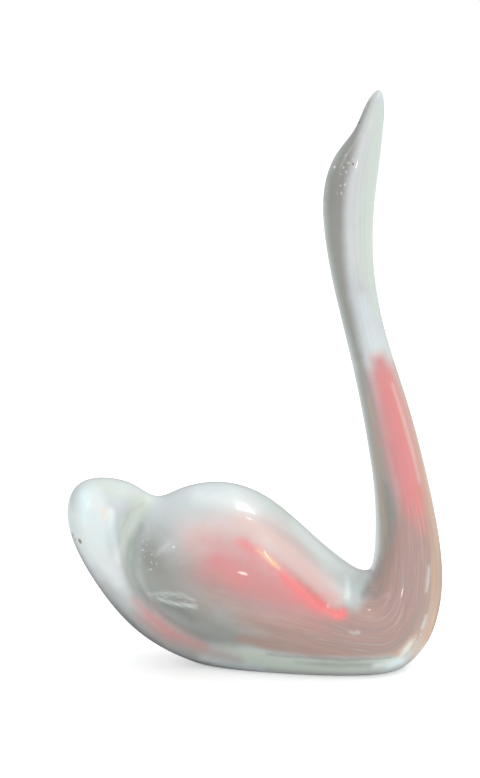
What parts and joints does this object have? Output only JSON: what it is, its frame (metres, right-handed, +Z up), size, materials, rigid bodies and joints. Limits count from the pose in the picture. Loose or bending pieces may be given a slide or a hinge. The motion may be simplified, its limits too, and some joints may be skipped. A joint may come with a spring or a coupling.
{
  "type": "ceramic swan figure",
  "caption": "Stylised swan with a tall upright neck, bill raised, folded wings and upturned tail, cast in one piece with a pearl lustre glaze, standing on a flat sole.",
  "frame": {"origin": "on the table under the middle of the figure's length and width, at the flat sole", "axes": "+X where the bird looks, +Y its left flank, +Z up"},
  "size_m": [0.131, 0.0624, 0.2],
  "materials": {
    "pearl_glaze": "glossy pearl lustre glaze, white with a soft pink blush on neck, chest and wing"
  },
  "bodies": {
    "root": {"swan_figure": "pearl_glaze"}
  },
  "joints": []
}
